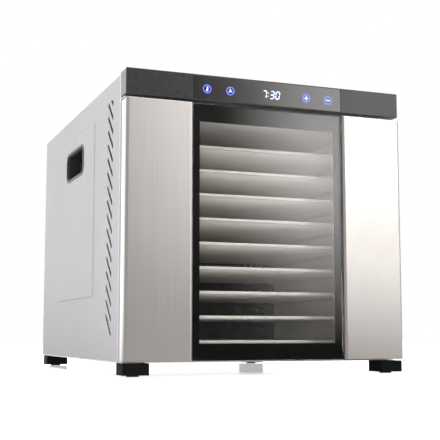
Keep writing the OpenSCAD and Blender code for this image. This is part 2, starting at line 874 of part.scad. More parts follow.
// Power board on spacers behind the motor plate
module power_board() {
  board_front = plate_y + motor_plate_t + spacer_l;
  color([0.05, 0.28, 0.13]) {
    translate([board_x, board_front, power_z]) cube([power_w, board_t, power_h]);
    for (x = [6, power_w - 6], z = [6, power_h - 6])
      y_cyl(board_x + x, plate_y + motor_plate_t, power_z + z, 3, spacer_l);
    translate([board_x + 10, board_front + board_t, power_z + 8]) cube([26, 22, 24]);
    for (k = [0 : 1])
      translate([board_x + 44 + k * 18, board_front + board_t, power_z + 10]) cube([14, 16, 18]);
    y_cyl(board_x + 62, board_front + board_t, power_z + 48, 6, 24);
  }
}

// Wires from the control board over the chamber to the power board
module wiring_harness() {
  drop_y = plate_y + motor_plate_t + spacer_l + board_t / 2;
  harness_start = board_y + board_t;
  color([0.15, 0.15, 0.16]) {
    y_cyl(harness_x - 20, harness_start, harness_z, harness_r, 6);
    translate([harness_x - 20, harness_start + 6, harness_z]) rotate([0, 90, 0])
      cylinder(r = harness_r, h = 20);
    y_cyl(harness_x, harness_start + 6, harness_z, harness_r, drop_y - harness_start - 6);
    translate([harness_x, drop_y, power_z + power_h])
      cylinder(r = harness_r, h = harness_z - power_z - power_h);
    for (p = [[harness_x - 20, harness_start + 6], [harness_x, harness_start + 6], [harness_x, drop_y]])
      translate([p[0], p[1], harness_z]) sphere(harness_r);
  }
}

// Cable gland in the rear panel, open through its middle
module cord_gland() {
  flange_r = gland_r + 2.5;
  flange_t = 3.5;
  color([0.07, 0.07, 0.075]) difference() {
    union() {
      y_cyl(gland_x, back_y - 7, gland_z, gland_r, 7 + back_panel_t + eps);
      y_cyl(gland_x, back_y + back_panel_t, gland_z, flange_r, flange_t);
      y_cyl(gland_x, back_y - 7, gland_z, flange_r, 7);
    }
    y_cyl(gland_x, back_y - 8, gland_z, gland_bore_r, 20);
  }
}

case_shell();
base_plate();
front_frame();
rear_panel();
rear_screws();
handle_cup(-1);  // handle_cup_left
handle_cup(1);  // handle_cup_right
foot(-foot_x, foot_front_y);  // foot_front_left
foot(foot_x, foot_front_y);  // foot_front_right
foot(-foot_x, foot_rear_y);  // foot_rear_left
foot(foot_x, foot_rear_y);  // foot_rear_right
foot_pads();
foot_screws();
liner_side(-1);  // liner_left
liner_side(1);  // liner_right
liner_flat(mouth_z - liner_t);  // liner_floor
liner_flat(mouth_top);  // liner_ceiling
rear_baffle();
control_housing();
touch_lens();
display_module();
touch_springs();
control_board();
hinge_bracket(top_tongue_z, frame_back + leaf_t);  // hinge_bracket_top
hinge_bracket(bottom_tongue_z, case_y + bracket_depth);  // hinge_bracket_bottom
hinge_pins();
strike_plates();
door_frame();
steel_panel(-1);  // steel_panel_left
steel_panel(1);  // steel_panel_right
door_glass();
glass_surround();
door_gasket();
door_magnets();
door_screws();
hinge_bushes();
tray(0);  // tray_1
tray(1);  // tray_2
tray(2);  // tray_3
tray(3);  // tray_4
tray(4);  // tray_5
tray(5);  // tray_6
tray(6);  // tray_7
tray(7);  // tray_8
tray(8);  // tray_9
motor_plate();
fan_motor();
motor_shaft();
fan_wheel();
heating_element();
heater_clips();
temperature_sensor();
thermal_cutout();
power_board();
wiring_harness();
cord_gland();
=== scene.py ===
# %% [markdown]
# # A glass-door food dehydrator
# The appliance is a folded steel box on four feet. A hinged door with two steel panels and a
# pane of glass closes its front, wire trays slide inside it, and a touch panel runs along its
# top edge. The measured model of every part is loaded first, and this file gives each part its
# real finish. Parts whose fine detail the measured model leaves out are built again here.

# %% Load the measured model
import json
import math

import bmesh
import bpy
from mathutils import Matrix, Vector


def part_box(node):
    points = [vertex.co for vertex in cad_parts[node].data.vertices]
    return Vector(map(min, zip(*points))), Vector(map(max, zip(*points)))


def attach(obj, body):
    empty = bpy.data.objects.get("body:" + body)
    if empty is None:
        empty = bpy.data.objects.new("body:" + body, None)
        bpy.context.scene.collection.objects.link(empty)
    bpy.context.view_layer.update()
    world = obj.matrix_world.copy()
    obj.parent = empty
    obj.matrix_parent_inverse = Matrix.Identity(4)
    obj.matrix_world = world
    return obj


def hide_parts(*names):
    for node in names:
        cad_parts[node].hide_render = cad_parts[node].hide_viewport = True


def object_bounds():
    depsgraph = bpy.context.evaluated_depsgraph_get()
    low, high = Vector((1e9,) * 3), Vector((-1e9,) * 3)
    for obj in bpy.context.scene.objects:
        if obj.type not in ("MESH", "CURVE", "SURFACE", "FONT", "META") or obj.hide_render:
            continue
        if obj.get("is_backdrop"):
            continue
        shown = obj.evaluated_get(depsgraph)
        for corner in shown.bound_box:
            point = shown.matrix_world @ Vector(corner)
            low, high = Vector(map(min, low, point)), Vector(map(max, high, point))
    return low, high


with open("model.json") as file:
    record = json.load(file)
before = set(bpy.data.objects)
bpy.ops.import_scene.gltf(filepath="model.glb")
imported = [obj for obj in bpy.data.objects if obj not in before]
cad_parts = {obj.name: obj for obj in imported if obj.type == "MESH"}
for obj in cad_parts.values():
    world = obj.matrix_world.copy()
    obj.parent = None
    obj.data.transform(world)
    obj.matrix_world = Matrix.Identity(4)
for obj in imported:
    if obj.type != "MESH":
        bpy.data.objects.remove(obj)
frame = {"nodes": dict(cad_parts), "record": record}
cad_low, cad_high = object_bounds()
NODES = frame["nodes"]
SLOT_OF = {p["node"]: p["material_slot"] for p in frame["record"]["subparts"]}
BODY_OF = {n: body for body, group in frame["record"]["behaviour"]["bodies"].items() for n in group}
MM = 0.001
print("measured parts:", len(NODES), "size in mm:", [round(s / MM, 1) for s in cad_high - cad_low])

# %% [markdown]
# ## Tools for shader nodes
# Every finish below is a small net of shader nodes. Three helpers keep the nets short: one adds
# a node and fills its sockets, one adds a maths node, and one starts a group with named sockets.
# A group does one job, such as brushing or smudges, and each material gives it its own numbers.


# %% Node helpers
def add(tree, kind, **inputs):
    """Adds a node; attributes come first, then sockets by name, where _ stands for a space."""
    node = tree.nodes.new(kind)
    for name in [n for n in inputs if n[0].islower() and hasattr(node, n)]:
        setattr(node, name, inputs.pop(name))
    for name, value in inputs.items():
        socket = node.inputs[int(name[1:]) if name[1:].isdigit() else name.replace("_", " ")]
        if isinstance(value, bpy.types.NodeSocket):
            tree.links.new(value, socket)
        else:
            socket.default_value = value
    return node


def maths(tree, operation, a, b=0.0):
    return add(tree, "ShaderNodeMath", operation=operation, i0=a, i1=b).outputs[0]


def new_group(name, ins, outs):
    """A shader group with named inputs (name, kind, value) and outputs (name, kind)."""
    tree = bpy.data.node_groups.new(name, "ShaderNodeTree")
    for label, kind, value in ins:
        socket = tree.interface.new_socket(name=label, in_out="INPUT", socket_type="NodeSocket" + kind)
        socket.default_value = value
    for label, kind in outs:
        tree.interface.new_socket(name=label, in_out="OUTPUT", socket_type="NodeSocket" + kind)
    return tree, tree.nodes.new("NodeGroupInput").outputs, tree.nodes.new("NodeGroupOutput").inputs


# %% [markdown]
# ## Brushing
# Stainless sheet is brushed with a belt, which leaves thousands of fine parallel scratches.
# Noise that is squeezed across the scratches and stretched along them gives the same look: the
# group multiplies the position by a stretch vector before it reads the noise. Two scales are
# added, so some scratches are longer and deeper than others.

# %% Brushed grain group
BRUSHED, gi, go = new_group(
    "brushed grain",
    [("Vector", "Vector", (0, 0, 0)), ("Stretch", "Vector", (1, 1, 0.02)), ("Scale", "Float", 900.0)],
    [("Shade", "Float"), ("Height", "Float")],
)
squeezed = add(BRUSHED, "ShaderNodeVectorMath", operation="MULTIPLY", i0=gi["Vector"],
               i1=gi["Stretch"]).outputs[0]
fine = add(BRUSHED, "ShaderNodeTexNoise", Vector=squeezed, Scale=gi["Scale"], Detail=2.0).outputs[0]
coarse_scale = maths(BRUSHED, "MULTIPLY", gi["Scale"], 0.22)
coarse = add(BRUSHED, "ShaderNodeTexNoise", Vector=squeezed, Scale=coarse_scale, Detail=2.0).outputs[0]
mixed = maths(BRUSHED, "ADD", maths(BRUSHED, "MULTIPLY", fine, 0.6),
              maths(BRUSHED, "MULTIPLY", coarse, 0.4))
BRUSHED.links.new(mixed, go["Shade"])
BRUSHED.links.new(fine, go["Height"])
print("group:", BRUSHED.name)

# %% [markdown]
# ## Moulded and sprayed grain
# Moulded plastic, rubber and sprayed paint have a fine all-over grain: tiny bumps with softer
# waves below them. A cell texture gives the bumps and a noise gives the waves.

# %% Fine grain group
GRAIN, gi, go = new_group(
    "fine grain",
    [("Vector", "Vector", (0, 0, 0)), ("Scale", "Float", 1800.0)],
    [("Shade", "Float"), ("Height", "Float")],
)
cells = add(GRAIN, "ShaderNodeTexVoronoi", Vector=gi["Vector"], Scale=gi["Scale"]).outputs["Distance"]
wave_scale = maths(GRAIN, "MULTIPLY", gi["Scale"], 0.12)
waves = add(GRAIN, "ShaderNodeTexNoise", Vector=gi["Vector"], Scale=wave_scale, Detail=3.0).outputs[0]
GRAIN.links.new(maths(GRAIN, "ADD", maths(GRAIN, "MULTIPLY", cells, 0.5), waves), go["Height"])
GRAIN.links.new(waves, go["Shade"])
print("group:", GRAIN.name)

# %% [markdown]
# ## Handling marks, wear and painted highlights on edges
# Nothing that is used stays even. Large soft clouds of noise make faint smudges, and they change
# the gloss a little. Edges are lighter where two faces meet, partly from wear and partly as a
# painted highlight: the Bevel node rounds the normal there, so comparing it with the true normal
# gives a mask that is bright on the edges.

# %% Smudge and edge groups
SMUDGE, gi, go = new_group(
    "handling smudges",
    [("Vector", "Vector", (0, 0, 0)), ("Scale", "Float", 14.0), ("Low", "Float", 0.35),
     ("High", "Float", 0.7)],
    [("Mask", "Float")],
)
cloud = add(SMUDGE, "ShaderNodeTexNoise", Vector=gi["Vector"], Scale=gi["Scale"], Detail=5.0,
            Distortion=0.6).outputs[0]
SMUDGE.links.new(add(SMUDGE, "ShaderNodeMapRange", i0=cloud, i1=gi["Low"], i2=gi["High"]).outputs[0],
                 go["Mask"])

# The mask lightens edges in the base colour: partly wear, partly a painted edge highlight.
EDGE_WEAR_AND_HIGHLIGHT, gi, go = new_group(
    "edge wear and highlight",
    [("Vector", "Vector", (0, 0, 0)), ("Width", "Float", 0.0008), ("Breakup", "Float", 260.0)],
    [("Mask", "Float"), ("Normal", "Vector")],
)
soft = add(EDGE_WEAR_AND_HIGHLIGHT, "ShaderNodeBevel", samples=4, Radius=gi["Width"]).outputs[0]
true_normal = add(EDGE_WEAR_AND_HIGHLIGHT, "ShaderNodeNewGeometry").outputs["Normal"]
same = add(EDGE_WEAR_AND_HIGHLIGHT, "ShaderNodeVectorMath", operation="DOT_PRODUCT", i0=soft, i1=true_normal).outputs["Value"]
near_edge = add(EDGE_WEAR_AND_HIGHLIGHT, "ShaderNodeMapRange", i0=same, i1=0.995, i2=0.85).outputs[0]
chips = add(EDGE_WEAR_AND_HIGHLIGHT, "ShaderNodeTexNoise", Vector=gi["Vector"], Scale=gi["Breakup"], Detail=3.0).outputs[0]
EDGE_WEAR_AND_HIGHLIGHT.links.new(maths(EDGE_WEAR_AND_HIGHLIGHT, "MULTIPLY", near_edge, chips), go["Mask"])
EDGE_WEAR_AND_HIGHLIGHT.links.new(soft, go["Normal"])
print("groups:", SMUDGE.name, "and", EDGE_WEAR_AND_HIGHLIGHT.name)

# %% [markdown]
# ## One recipe for opaque finishes
# Painted steel, stainless steel, plastic and rubber differ in a few numbers: two colours that
# the grain wanders between, how rough they are, how deep the grain is, and how bright an edge
# gets, which is wear and a painted highlight. One function builds the net, and a table holds the
# numbers. The shader node itself stays in the material.


# %% The surface recipe
def surface(name, dark, light, rough, edge, grain, scale, depth, stretch=(1, 1, 0.02), metal=0.0,
            coat=0.0, smudge=0.35, edge_width=0.0008, anisotropic=0.0, mirror=0.5):
    """An opaque finish. rough is (smooth, dull), and grain is BRUSHED or GRAIN."""
    material = bpy.data.materials.new(name)
    material.use_nodes = True
    tree = material.node_tree
    shader = tree.nodes["Principled BSDF"]
    place = add(tree, "ShaderNodeTexCoord").outputs["Object"]
    texture = add(tree, "ShaderNodeGroup", node_tree=grain, Vector=place, Scale=scale)
    if grain == BRUSHED:
        texture.inputs["Stretch"].default_value = stretch
    marks = add(tree, "ShaderNodeGroup", node_tree=SMUDGE, Vector=place).outputs["Mask"]
    edges = add(tree, "ShaderNodeGroup", node_tree=EDGE_WEAR_AND_HIGHLIGHT, Vector=place, Width=edge_width)
    wander = add(tree, "ShaderNodeMapRange", i0=texture.outputs["Shade"], i1=0.3, i2=0.7).outputs[0]
    base = add(tree, "ShaderNodeMix", data_type="RGBA", i0=wander, i6=(*dark, 1), i7=(*light, 1)).outputs[2]
    # Edges take the edge colour: partly wear, partly a painted edge highlight.
    worn_and_highlit = add(tree, "ShaderNodeMix", data_type="RGBA", i0=edges.outputs["Mask"], i6=base,
               i7=(*edge, 1)).outputs[2]
    dull = maths(tree, "ADD", maths(tree, "MULTIPLY", wander, 1 - smudge),
                 maths(tree, "MULTIPLY", marks, smudge))
    roughness = add(tree, "ShaderNodeMapRange", i0=dull, i3=rough[0], i4=rough[1]).outputs[0]
    bump = add(tree, "ShaderNodeBump", Strength=1.0, Distance=depth, Height=texture.outputs["Height"],
               Normal=edges.outputs["Normal"]).outputs[0]
    for socket, value in (("Base Color", worn_and_highlit), ("Roughness", roughness), ("Normal", bump)):
        tree.links.new(value, shader.inputs[socket])
    shader.inputs["Metallic"].default_value = metal
    shader.inputs["Coat Weight"].default_value = coat
    shader.inputs["Coat Roughness"].default_value = 0.12
    shader.inputs["Anisotropic"].default_value = anisotropic
    shader.inputs["Specular IOR Level"].default_value = mirror
    return material


# %% [markdown]
# ## The finishes
# The case is sprayed with a satin silver paint. The door panels are stainless steel that is
# brushed upwards, with a warm tint. Inside there is mill-finish steel, plated steel brackets and
# aluminium, and the rest is black plastic, rubber and two boards.

# %% Opaque finishes
UP, ACROSS, BACK = (1, 1, 0.02), (0.02, 1, 1), (1, 0.02, 1)
# The third colour of each row is the edge colour: partly wear, partly a painted edge highlight.
FINISH = {
    "case_steel": surface("case_steel", (0.35, 0.353, 0.368), (0.39, 0.393, 0.408), (0.42, 0.52),
                          (0.58, 0.58, 0.59),
                          GRAIN, 1500, 0.00004, metal=0.1, mirror=0.25),
    "door_steel": surface("door_steel", (0.375, 0.357, 0.345), (0.415, 0.399, 0.388), (0.27, 0.33),
                          (0.93, 0.92, 0.91),
                          BRUSHED, 3200, 0.000004, stretch=(1, 1, 0.006), metal=1.0, anisotropic=0.35),
    "frame_steel": surface("frame_steel", (0.55, 0.55, 0.56), (0.72, 0.72, 0.73), (0.28, 0.4),
                           (0.93, 0.93, 0.93),
                           BRUSHED, 700, 0.00002, stretch=ACROSS, metal=1.0),
    "liner_steel": surface("liner_steel", (0.62, 0.59, 0.575), (0.74, 0.71, 0.695), (0.28, 0.42),
                           (0.85, 0.84, 0.83),
                           BRUSHED, 600, 0.00002, stretch=BACK, metal=0.3),
    "tray_steel": surface("tray_steel", (0.72, 0.67, 0.635), (0.82, 0.77, 0.735), (0.3, 0.44),
                          (0.93, 0.91, 0.89),
                          BRUSHED, 800, 0.00001, stretch=ACROSS, metal=0.2, edge_width=0.0005),
    "plated_steel": surface("plated_steel", (0.50, 0.50, 0.52), (0.70, 0.70, 0.71), (0.25, 0.4),
                            (0.9, 0.9, 0.9),
                            GRAIN, 900, 0.00002, metal=1.0),
    "door_aluminium": surface("door_aluminium", (0.66, 0.65, 0.64), (0.82, 0.81, 0.80), (0.3, 0.42),
                              (0.95, 0.95, 0.95),
                              BRUSHED, 800, 0.000015, stretch=UP, metal=1.0),
    "fan_aluminium": surface("fan_aluminium", (0.58, 0.58, 0.6), (0.74, 0.74, 0.75), (0.3, 0.45),
                             (0.92, 0.92, 0.92),
                             BRUSHED, 500, 0.00002, stretch=BACK, metal=1.0),
    "black_plastic": surface("black_plastic", (0.002, 0.002, 0.0025), (0.004, 0.004, 0.0045), (0.55, 0.7),
                             (0.012, 0.012, 0.013), GRAIN, 1600, 0.00006, mirror=0.06),
    "panel_plastic": surface("panel_plastic", (0.012, 0.012, 0.013), (0.018, 0.018, 0.019), (0.26, 0.34),
                             (0.09, 0.09, 0.095), GRAIN, 2200, 0.000006, coat=0.12, mirror=0.2),
    "gloss_black": surface("gloss_black", (0.012, 0.011, 0.011), (0.018, 0.017, 0.016), (0.06, 0.12),
                           (0.05, 0.05, 0.05), GRAIN, 300, 0.000002, coat=0.5, edge_width=0.0004,
                           mirror=0.2),
    "border_black": surface("border_black", (0.0015, 0.0015, 0.0015), (0.003, 0.003, 0.003), (0.2, 0.3),
                            (0.01, 0.01, 0.01), GRAIN, 900, 0.000001, mirror=0.02),
    "rubber": surface("rubber", (0.010, 0.010, 0.010), (0.02, 0.02, 0.02), (0.65, 0.8), (0.05, 0.05, 0.05),
                      GRAIN, 1200, 0.00008, mirror=0.2),
    "gasket_rubber": surface("gasket_rubber", (0.022, 0.022, 0.022), (0.04, 0.04, 0.04), (0.5, 0.66),
                             (0.09, 0.09, 0.09),
                             GRAIN, 1500, 0.00005),
    "magnet": surface("magnet", (0.06, 0.06, 0.062), (0.1, 0.1, 0.1), (0.45, 0.6), (0.25, 0.25, 0.25),
                      GRAIN, 900, 0.00003, metal=0.6),
    "motor_steel": surface("motor_steel", (0.16, 0.16, 0.165), (0.26, 0.26, 0.265), (0.4, 0.55),
                           (0.5, 0.5, 0.5),
                           BRUSHED, 400, 0.00004, stretch=(1, 4, 1), metal=0.8),
    "heater_metal": surface("heater_metal", (0.10, 0.085, 0.075), (0.22, 0.18, 0.15), (0.4, 0.6),
                            (0.35, 0.3, 0.26),
                            GRAIN, 500, 0.00006, metal=0.9),
    "circuit_board": surface("circuit_board", (0.01, 0.07, 0.03), (0.02, 0.12, 0.05), (0.25, 0.4),
                             (0.35, 0.4, 0.2),
                             GRAIN, 500, 0.00005, coat=0.3),
    "wire_cover": surface("wire_cover", (0.02, 0.02, 0.022), (0.04, 0.04, 0.042), (0.4, 0.5),
                          (0.06, 0.06, 0.06),
                          GRAIN, 900, 0.00003),
    "ceramic": surface("ceramic", (0.62, 0.58, 0.50), (0.76, 0.73, 0.66), (0.3, 0.5), (0.85, 0.83, 0.8),
                       GRAIN, 700, 0.00004),
}
# The tray rims use a darker copy of the tray steel, which is painted shade: it keeps the lamp-lit front
# rims from looking brighter than the wires.
RIM_PAINTED_SHADE = surface("rim_painted_shade", (0.44, 0.425, 0.41), (0.54, 0.525, 0.51), (0.4, 0.55), (0.7, 0.69, 0.68),
                    BRUSHED, 800, 0.00001, stretch=ACROSS, metal=0.3, edge_width=0.0005)
# The ceiling is a lighter copy of the liner steel: painted light that brightens the top of the chamber.
CEILING_PAINTED_LIGHT = surface("ceiling_painted_light", (0.84, 0.80, 0.77), (0.93, 0.89, 0.86), (0.3, 0.45),
                        (0.95, 0.94, 0.93),
                        BRUSHED, 600, 0.00002, stretch=BACK, metal=0.1)
CUP_PLASTIC = surface("cup_plastic", (0.012, 0.012, 0.013), (0.02, 0.02, 0.021), (0.4, 0.52),
                      (0.10, 0.10, 0.10),
                      GRAIN, 1600, 0.00003, mirror=0.4)
BAFFLE_STEEL = surface("baffle_steel", (0.06, 0.068, 0.066), (0.10, 0.112, 0.108), (0.34, 0.48),
                       (0.3, 0.31, 0.3),
                       GRAIN, 700, 0.00002, metal=0.5)
OWN_FINISH = {"rear_baffle": BAFFLE_STEEL, "liner_ceiling": CEILING_PAINTED_LIGHT, "handle_cup_left": CUP_PLASTIC,
              "handle_cup_right": CUP_PLASTIC}
print("opaque finishes:", len(FINISH), "and", len(set(OWN_FINISH.values())) + 1, "for single parts")

# %% [markdown]
# ## Door glass
# The pane is tempered glass with a light grey tint. A path tracer turns glass into a dark pane,
# because it can't find lamps through it. The usual cure lets shadow rays pass: where the ray is
# a shadow ray or a diffuse one, the surface is plainly transparent, and elsewhere it is glass.
# The index is a little low, because the black print touches the pane, where only its front mirrors.

# %% Glass finish
glass = bpy.data.materials.new("door_pane")
glass.use_nodes = True
tree = glass.node_tree
pane = tree.nodes["Principled BSDF"]
pane.inputs["Base Color"].default_value = (0.90, 0.90, 0.89, 1)
pane.inputs["Transmission Weight"].default_value = 1.0
pane.inputs["IOR"].default_value = 1.36
place = add(tree, "ShaderNodeTexCoord").outputs["Object"]
marks = add(tree, "ShaderNodeGroup", node_tree=SMUDGE, Vector=place, Scale=9.0).outputs["Mask"]
tree.links.new(add(tree, "ShaderNodeMapRange", i0=marks, i3=0.0, i4=0.02).outputs[0],
               pane.inputs["Roughness"])
clear = add(tree, "ShaderNodeBsdfTransparent", Color=(0.86, 0.86, 0.85, 1))
rays = add(tree, "ShaderNodeLightPath").outputs
passes = maths(tree, "MAXIMUM", rays["Is Shadow Ray"], rays["Is Diffuse Ray"])
either = add(tree, "ShaderNodeMixShader", i0=passes, i1=pane.outputs[0], i2=clear.outputs[0])
tree.links.new(either.outputs[0], tree.nodes["Material Output"].inputs["Surface"])
FINISH["glass"] = glass

# %% [markdown]
# ## Lit symbols
# Lamps behind the touch plate light the symbols. The light is blue on the rings and nearly white
# on the digits, and it is a little uneven, because each symbol has one lamp behind it.


# %% Glowing finishes
def glow(name, dim, bright, strength):
    material = bpy.data.materials.new(name)
    material.use_nodes = True
    tree = material.node_tree
    shader = tree.nodes["Principled BSDF"]
    place = add(tree, "ShaderNodeTexCoord").outputs["Object"]
    uneven = add(tree, "ShaderNodeTexNoise", Vector=place, Scale=240.0, Detail=1.0).outputs[0]
    colour = add(tree, "ShaderNodeMix", data_type="RGBA", i0=uneven, i6=(*dim, 1),
                 i7=(*bright, 1)).outputs[2]
    tree.links.new(colour, shader.inputs["Emission Color"])
    shader.inputs["Emission Strength"].default_value = strength
    shader.inputs["Base Color"].default_value = (0.02, 0.02, 0.05, 1)
    tree.links.new(add(tree, "ShaderNodeMapRange", i0=uneven, i3=0.2, i4=0.4).outputs[0],
                   shader.inputs["Roughness"])
    return material


RING_GLOW = glow("ring_glow", (0.05, 0.08, 0.85), (0.12, 0.18, 1.0), 2.2)
SIGN_GLOW = glow("sign_glow", (0.45, 0.55, 1.0), (0.70, 0.78, 1.0), 2.2)
DIGIT_GLOW = glow("digit_glow", (0.45, 0.62, 1.0), (0.72, 0.85, 1.0), 2.2)

# %% [markdown]
# ## Give the measured parts their finishes
# The record names a finish for every part, so one loop is enough. Four parts get their own:
# the baffle behind the trays is a much darker steel, the ceiling above them is a lighter copy of
# the liner steel as painted light, and hands have polished the two handle cups a little.

# %% Assign the finishes
for name, part in NODES.items():
    part.data.materials.clear()
    part.data.materials.append(OWN_FINISH.get(name, FINISH[SLOT_OF[name]]))
print("parts with a finish:", len(NODES))

# %% [markdown]
# ## Tools for building pieces
# A built piece is a plain mesh in metres with its place in its vertices. One helper wraps a
# finished bmesh, and one says which body a piece moves with and hides the measured parts it
# stands for. Loose parts of a measured node, such as eight screws, are found again by merging its
# corners and walking over the faces.


# %% Piece helpers
def piece(name, bm, material, smooth=30):
    bmesh.ops.recalc_face_normals(bm, faces=bm.faces)
    mesh = bpy.data.meshes.new(name)
    bm.to_mesh(mesh)
    bm.free()
    return wrap(name, mesh, material, smooth)


def wrap(name, mesh, material, smooth=30):
    if material:
        mesh.materials.clear()
        mesh.materials.append(material)
    mesh.polygons.foreach_set("use_smooth", [True] * len(mesh.polygons))
    mesh.set_sharp_from_angle(angle=math.radians(smooth))
    made = bpy.data.objects.new(name, mesh)
    bpy.context.scene.collection.objects.link(made)
    return made


def settle(made, *nodes, body=None):
    """The piece rides on the body of the parts it stands for, and those parts are hidden."""
    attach(made, body or BODY_OF[nodes[0]])
    if nodes:
        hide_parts(*nodes)
    triangles = sum(len(p.vertices) - 2 for p in made.data.polygons)
    print(f"{made.name}: {triangles} triangles")
    return made


def merged(node):
    """A copy of a measured part's mesh, with its corners merged."""
    bm = bmesh.new()
    bm.from_mesh(NODES[node].data)
    bmesh.ops.remove_doubles(bm, verts=bm.verts, dist=1e-6)
    return bm


def loose_parts(node):
    """(lowest corner, highest corner) of each loose part of a measured node."""
    bm, seen, found = merged(node), set(), []
    for start in bm.verts:
        if start in seen:
            continue
        todo, island = [start], []
        seen.add(start)
        while todo:
            vert = todo.pop()
            island.append(vert.co.copy())
            for edge in vert.link_edges:
                other = edge.other_vert(vert)
                if other not in seen:
                    seen.add(other)
                    todo.append(other)
        found.append((Vector(map(min, *island)), Vector(map(max, *island))))
    bm.free()
    return found


# %% [markdown]
# ## Soft edges on the large parts
# Sheet and plastic parts never end in a knife edge. A merged copy of the measured mesh gets a
# small bevel on its sharp edges, which catches a thin line of light. The copy keeps the outer
# size, because a bevel only takes material away. Its faces stay flat, so the wide ones mirror
# and refract as true planes. The pane also ends a hair in front of the black print behind it.


# %% Rounded copies
def rounded(node, width, back_gap=0.0):
    bm = merged(node)
    back = max(vert.co.y for vert in bm.verts)
    for vert in bm.verts:
        vert.co.y -= back_gap if vert.co.y > back - 0.01 * MM else 0.0
    bmesh.ops.dissolve_limit(bm, angle_limit=math.radians(1), verts=bm.verts, edges=bm.edges)
    mesh = bpy.data.meshes.new(node)
    bm.to_mesh(mesh)
    bm.free()
    work = bpy.data.objects.new("work", mesh)
    bpy.context.scene.collection.objects.link(work)
    bevel = work.modifiers.new("edge", "BEVEL")
    bevel.width = width
    bevel.segments = 2
    bevel.limit_method = "ANGLE"
    bevel.angle_limit = math.radians(40)
    done = bpy.data.meshes.new_from_object(work.evaluated_get(bpy.context.evaluated_depsgraph_get()))
    bpy.data.objects.remove(work)
    return settle(wrap(node + "_finished", done, FINISH[SLOT_OF[node]], 1), node)


rounded("control_housing", 0.7 * MM)
rounded("touch_lens", 0.25 * MM)
rounded("door_glass", 0.5 * MM, back_gap=0.2 * MM)
FEET = sorted(n for n in NODES if n.startswith("foot_") and n not in ("foot_screws", "foot_pads"))
for part_name in FEET:
    rounded(part_name, 0.8 * MM)

# %% [markdown]
# ## Wire trays
# Each tray is a flat rounded rim with a screen of thin wires welded inside it: one layer runs
# across and one lies on top and runs front to back. This is a rule, so Geometry Nodes makes it.
# A rounded rectangle is swept with the rim's section, and each wire layer is a row of points
# with one tube on each point. The tree's inputs take the sizes from the measured tray.


# %% Geometry node helpers
def new_tree(name, ins):
    tree = bpy.data.node_groups.new(name, "GeometryNodeTree")
    tree.interface.new_socket(name="Geometry", in_out="INPUT", socket_type="NodeSocketGeometry")
    for label, kind in ins:
        tree.interface.new_socket(name=label, in_out="INPUT", socket_type="NodeSocket" + kind)
    tree.interface.new_socket(name="Geometry", in_out="OUTPUT", socket_type="NodeSocketGeometry")
    return tree, tree.nodes.new("NodeGroupInput").outputs, tree.nodes.new("NodeGroupOutput").inputs


def grow(tree, name, values, start=None):
    """Runs a tree on a mesh, its inputs set by identifier, and returns a plain mesh."""
    work = bpy.data.objects.new("work", start or bpy.data.meshes.new("empty"))
    bpy.context.scene.collection.objects.link(work)
    modifier = work.modifiers.new(name, "NODES")
    modifier.node_group = tree
    for item in tree.interface.items_tree:
        if item.in_out == "INPUT" and item.name in values:
            modifier[item.identifier] = values[item.name]
    done = bpy.data.meshes.new_from_object(work.evaluated_get(bpy.context.evaluated_depsgraph_get()))
    done.name = name
    bpy.data.objects.remove(work)
    return done


def vector(tree, x=0.0, y=0.0, z=0.0):
    return add(tree, "ShaderNodeCombineXYZ", i0=x, i1=y, i2=z).outputs[0]


# %% The tray tree
TRAY, ti, to = new_tree("wire tray", [
    ("Width", "Float"), ("Depth", "Float"), ("Rim width", "Float"), ("Rim height", "Float"),
    ("Corner", "Float"), ("Pitch", "Float"), ("Wire radius", "Float"), ("Place", "Vector"),
    ("Wire finish", "Material"), ("Rim finish", "Material")])


def swept(tree, curve, section, caps=False):
    node = add(tree, "GeometryNodeCurveToMesh", Curve=curve, Fill_Caps=caps)
    tree.links.new(section, node.inputs["Profile Curve"])
    return node.outputs["Mesh"]


def fillet(tree, curve, radius, count):
    return add(tree, "GeometryNodeFilletCurve", Curve=curve, Count=count, Radius=radius,
               mode="POLY").outputs[0]


def wire_layer(tree, half_run, half_spread, pitch, radius, along_x, height):
    """A row of straight wires; along_x says which way each wire runs."""
    spread = maths(tree, "MULTIPLY", half_spread, 2.0)
    gaps = maths(tree, "FLOOR", maths(tree, "DIVIDE", spread, pitch))
    count = maths(tree, "ADD", gaps, 1.0)
    reach = maths(tree, "MULTIPLY", maths(tree, "MULTIPLY", gaps, pitch), 0.5)
    back = maths(tree, "MULTIPLY", reach, -1.0)
    first = vector(tree, 0.0, back, height) if along_x else vector(tree, back, 0.0, height)
    step = vector(tree, 0.0, pitch, 0.0) if along_x else vector(tree, pitch, 0.0, 0.0)
    row = add(tree, "GeometryNodeMeshLine", Count=count, Start_Location=first, Offset=step).outputs[0]
    less = maths(tree, "MULTIPLY", half_run, -1.0)
    if along_x:
        ends = (vector(tree, less), vector(tree, half_run))
    else:
        ends = (vector(tree, 0.0, less), vector(tree, 0.0, half_run))
    line = add(tree, "GeometryNodeCurvePrimitiveLine", Start=ends[0], End=ends[1]).outputs[0]
    ring = add(tree, "GeometryNodeCurvePrimitiveCircle", Resolution=6, Radius=radius).outputs[0]
    return add(tree, "GeometryNodeInstanceOnPoints", Points=row,
               Instance=swept(tree, line, ring, True)).outputs[0]


